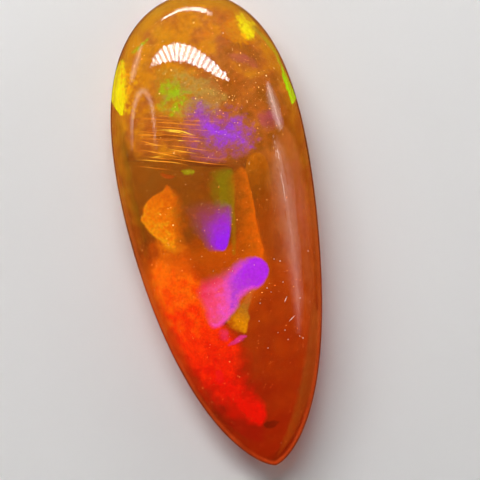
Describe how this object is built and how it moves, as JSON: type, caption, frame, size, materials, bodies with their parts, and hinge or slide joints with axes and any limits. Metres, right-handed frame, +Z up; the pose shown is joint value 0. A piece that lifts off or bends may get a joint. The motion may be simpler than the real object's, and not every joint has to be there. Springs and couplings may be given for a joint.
{
  "type": "opal cabochon",
  "caption": "Long pear-shaped translucent amber opal with a smooth domed top, a pointed end and a flat polished base, cut to be set in jewellery.",
  "frame": {"origin": "centre of the bounding box at the level of the flat base", "axes": "+Z up out of the dome, +Y along the stone's length toward its round end, +X across its width"},
  "size_m": [0.0082, 0.02, 0.004],
  "materials": {
    "opal": "high polish over hazy, see-through amber opal with coloured flashes inside"
  },
  "bodies": {
    "root": {"opal_cabochon": "opal"}
  },
  "joints": []
}
